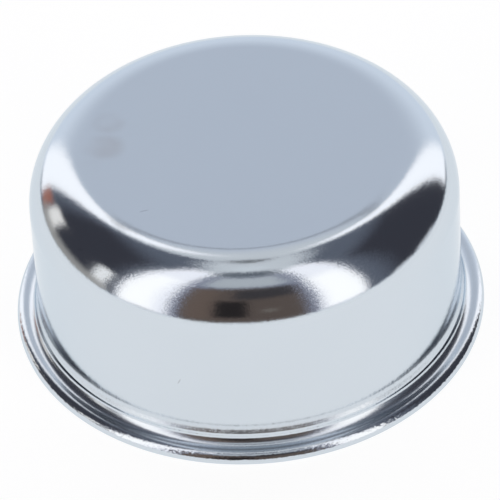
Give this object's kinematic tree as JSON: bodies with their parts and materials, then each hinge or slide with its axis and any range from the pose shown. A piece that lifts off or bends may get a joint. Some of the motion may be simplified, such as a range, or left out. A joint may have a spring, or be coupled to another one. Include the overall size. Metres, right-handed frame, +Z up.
{
  "type": "crankcase breather filter cap",
  "caption": "Round chrome push-on crankcase breather cap with a stepped, hemmed rim, vented base plate, filler tube collar and wire filter ring inside.",
  "frame": {"origin": "centre of the underside of the rolled rim, on the cap's axis", "axes": "+Z up along the cap's axis, out of the crown; a spring clip lies on +X"},
  "size_m": [0.0824, 0.0824, 0.0356],
  "materials": {
    "chrome_shell": "bright chrome plate on drawn steel",
    "zinc_plate": "pressed steel, bright zinc plated",
    "zinc_collar": "drawn steel, bright zinc plated",
    "seal": "matt black oil resistant rubber",
    "gauze": "woven steel wire, bare",
    "wire_ring": "knitted and crimped steel wire, mostly air",
    "spring_steel": "blued spring steel",
    "rivet_steel": "bright steel rivet"
  },
  "bodies": {
    "root": {"cap_shell": "chrome_shell", "base_plate": "zinc_plate", "collar": "zinc_collar", "retainer_plate": "zinc_plate", "baffle": "zinc_plate", "seal_ring": "seal", "base_screen": "gauze", "filter_element": "wire_ring", "spring_clip_1": "spring_steel", "spring_clip_2": "spring_steel", "spring_clip_3": "spring_steel", "clip_rivet_1": "rivet_steel", "clip_rivet_2": "rivet_steel", "clip_rivet_3": "rivet_steel"}
  },
  "joints": []
}
